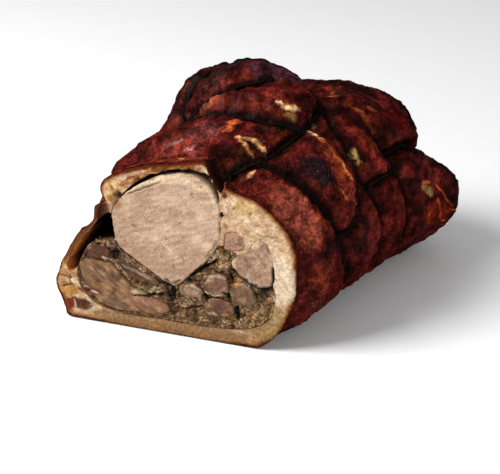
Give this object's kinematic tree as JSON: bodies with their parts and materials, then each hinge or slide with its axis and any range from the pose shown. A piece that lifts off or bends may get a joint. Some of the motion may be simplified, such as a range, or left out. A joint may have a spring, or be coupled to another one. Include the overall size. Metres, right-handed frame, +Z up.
{
  "type": "porchetta roll",
  "caption": "Rolled pork roast tied with twine, cut across at one end to show its loin, fat, lean meat and herb filling under dark crackling.",
  "frame": {"origin": "centre of the roll's bounding box, on the surface it rests on", "axes": "+Z up, the roll's axis along Y with the cut face towards -Y and the closed end towards +Y"},
  "size_m": [0.2098, 0.262, 0.1719],
  "materials": {
    "roasted_rind": "dark red-brown roasted skin, glossy with fat in places, cream fat where it is cut",
    "roast_loin": "moist pale roast pork",
    "roast_lean": "moist pinkish brown roast pork",
    "herb_stuffing": "soft fat and meat crumbs with dark chopped herbs",
    "charred_twine": "cotton butcher's twine, scorched black"
  },
  "bodies": {
    "root": {"rind_and_fat": "roasted_rind", "loin": "roast_loin", "flank_muscle": "roast_lean", "flank_strip": "roast_lean", "flank_end": "roast_lean", "belly_lean": "roast_lean", "upper_lean": "roast_lean", "filling_meat_1": "roast_lean", "filling_meat_2": "roast_lean", "filling_meat_3": "roast_lean", "filling_meat_4": "roast_lean", "herb_stuffing": "herb_stuffing", "twine": "charred_twine"}
  },
  "joints": []
}
